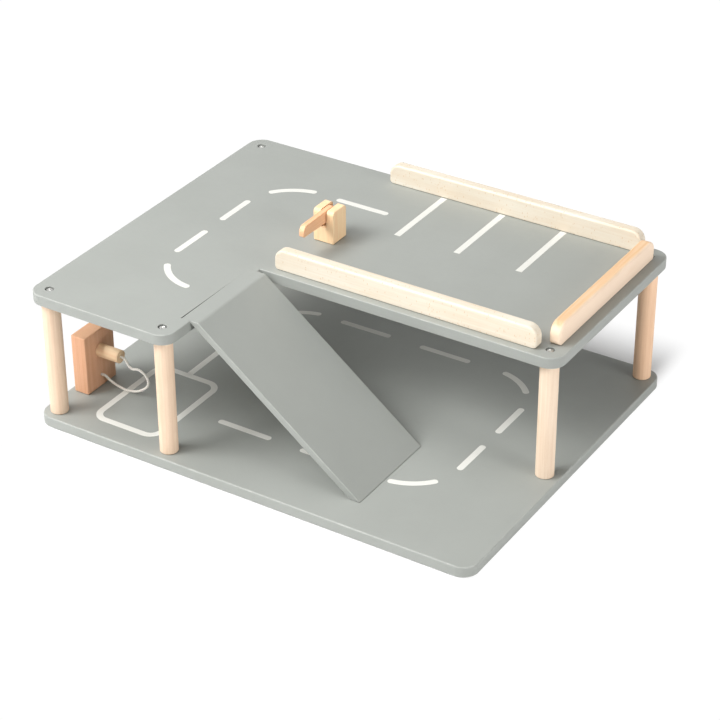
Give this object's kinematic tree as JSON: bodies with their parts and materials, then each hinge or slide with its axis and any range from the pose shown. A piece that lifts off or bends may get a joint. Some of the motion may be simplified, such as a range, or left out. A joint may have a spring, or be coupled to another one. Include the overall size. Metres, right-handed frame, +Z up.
{
  "type": "wooden toy garage",
  "caption": "Toy garage with two painted wooden decks on turned legs, a ramp, parking rails, a swinging boom gate and a charging post with a plug on a cord.",
  "frame": {"origin": "middle of the base's underside", "axes": "+X along the long side towards the wider parking end, +Y to the back, +Z up"},
  "size_m": [0.43, 0.343, 0.162],
  "materials": {
    "grey_paint": "satin grey-green water-based paint on birch plywood",
    "pale_beech": "fine sanded clear-oiled beech",
    "cream_beech": "fine sanded pale maple or beech with small flecks",
    "warm_beech": "fine sanded oiled beech, warm",
    "red_beech": "oiled reddish-brown hardwood",
    "screw_steel": "zinc-plated steel",
    "cotton": "off-white twisted cotton cord",
    "marking_paint": "matt off-white printed road lines"
  },
  "bodies": {
    "garage": {"base_deck": "grey_paint", "upper_deck": "grey_paint", "ramp": "grey_paint", "leg_front_left": "pale_beech", "leg_front_middle": "pale_beech", "leg_front_right": "pale_beech", "leg_back_right": "pale_beech", "leg_back_left": "pale_beech", "deck_screw_front_left": "screw_steel", "deck_screw_front_middle": "screw_steel", "deck_screw_front_right": "screw_steel", "deck_screw_back_right": "screw_steel", "deck_screw_back_left": "screw_steel", "base_screw_front_left": "screw_steel", "base_screw_front_middle": "screw_steel", "base_screw_front_right": "screw_steel", "base_screw_back_right": "screw_steel", "base_screw_back_left": "screw_steel", "back_rail": "cream_beech", "front_rail": "cream_beech", "side_rail": "cream_beech", "rail_screw_1": "screw_steel", "rail_screw_2": "screw_steel", "rail_screw_3": "screw_steel", "rail_screw_4": "screw_steel", "rail_screw_5": "screw_steel", "rail_screw_6": "screw_steel", "rail_screw_7": "screw_steel", "rail_screw_8": "screw_steel", "ramp_screw_1": "screw_steel", "ramp_screw_2": "screw_steel", "boom_post": "warm_beech", "boom_post_screw": "screw_steel", "boom_pin": "screw_steel", "charger_block": "red_beech", "charger_screw_1": "screw_steel", "charger_screw_2": "screw_steel", "charge_cord": "cotton"},
    "boom": {"boom_arm": "warm_beech"},
    "plug": {"charge_plug": "warm_beech"}
  },
  "joints": [
    {"name": "boom_lift", "type": "hinge", "parent": "garage", "child": "boom", "pos_m": [-0.0497, 0.041, 0.156], "axis": [-1, 0, 0], "range_deg": [-12, 90]},
    {"name": "plug_pull", "type": "slide", "parent": "garage", "child": "plug", "axis": [1, 0, 0], "range_m": [0, 0.02], "deforming": ["charge_cord"]}
  ]
}
